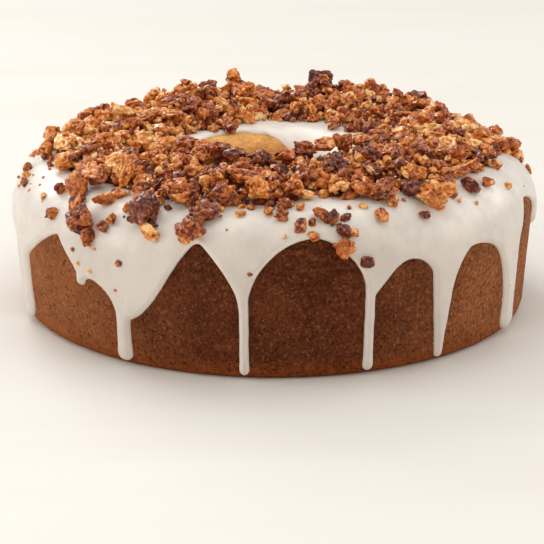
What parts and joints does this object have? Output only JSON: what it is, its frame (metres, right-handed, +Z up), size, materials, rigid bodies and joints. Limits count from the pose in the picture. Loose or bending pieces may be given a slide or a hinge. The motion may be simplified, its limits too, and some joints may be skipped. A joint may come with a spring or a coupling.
{
  "type": "coffee cake",
  "caption": "Ring-shaped coffee cake with a hole through its middle, white glaze run down its brown sides and a heap of candied chopped nuts round its top",
  "frame": {"origin": "Middle of the flat underside of the ring, on the axis of its hole, where the cake rests.", "axes": "+Z is up, along the axis of the hole. +Y points to the back: the side that the picture shows faces -Y. +X is to the viewer's right."},
  "size_m": [0.2578, 0.2593, 0.0947],
  "materials": {
    "crust": "baked brown crust, finely porous, matt",
    "glaze": "set sugar glaze, warm off-white, satin",
    "candied_nut": "chopped nuts in caramelised sugar, amber to dark brown, glossy"
  },
  "bodies": {
    "root": {"cake": "crust", "glaze": "glaze", "candied_nuts": "candied_nut"}
  },
  "joints": []
}
